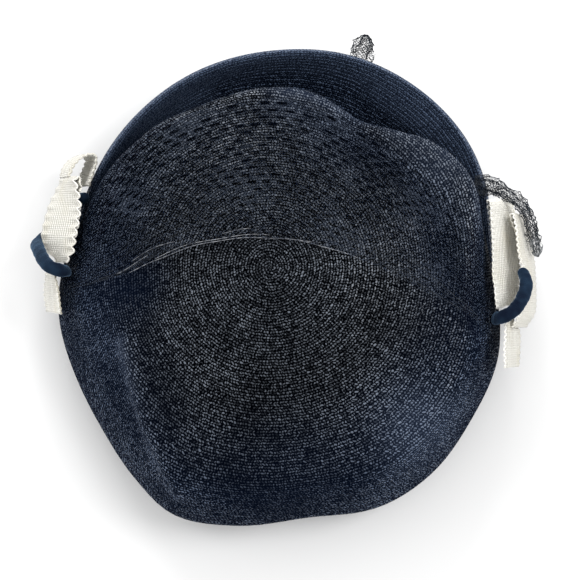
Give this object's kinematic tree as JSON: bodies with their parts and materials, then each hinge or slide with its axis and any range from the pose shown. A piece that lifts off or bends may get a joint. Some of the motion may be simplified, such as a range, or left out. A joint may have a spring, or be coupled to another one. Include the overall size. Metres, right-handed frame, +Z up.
{
  "type": "tilt hat",
  "caption": "Navy straw tilt hat: dished crown, brim turned up round the front half, veiling drawn over the top, and a ribbed white ribbon bow looped in velvet at each side.",
  "frame": {"origin": "centre of the outline in plan, on the surface that the hat stands on", "axes": "+Z up, +Y towards the turned-up brim, +X towards the bow with the net tail"},
  "size_m": [0.2534, 0.247, 0.0782],
  "materials": {
    "straw": "sewn cellophane straw braid, lightly glossy",
    "veiling": "fine open net",
    "ribbon": "matt ribbed weave",
    "velvet": "deep pile velvet"
  },
  "bodies": {
    "root": {"crown": "straw", "brim": "straw", "veil_band": "veiling", "veil_tail_right": "veiling", "veil_tuft_front": "veiling", "bow_left_front_loop": "ribbon", "bow_left_inner_loop": "ribbon", "bow_left_upper_loop": "ribbon", "bow_left_tail": "ribbon", "bow_right_front_loop": "ribbon", "bow_right_outer_loop": "ribbon", "bow_right_tail": "ribbon", "velvet_loop_left": "velvet", "velvet_loop_right": "velvet"}
  },
  "joints": []
}
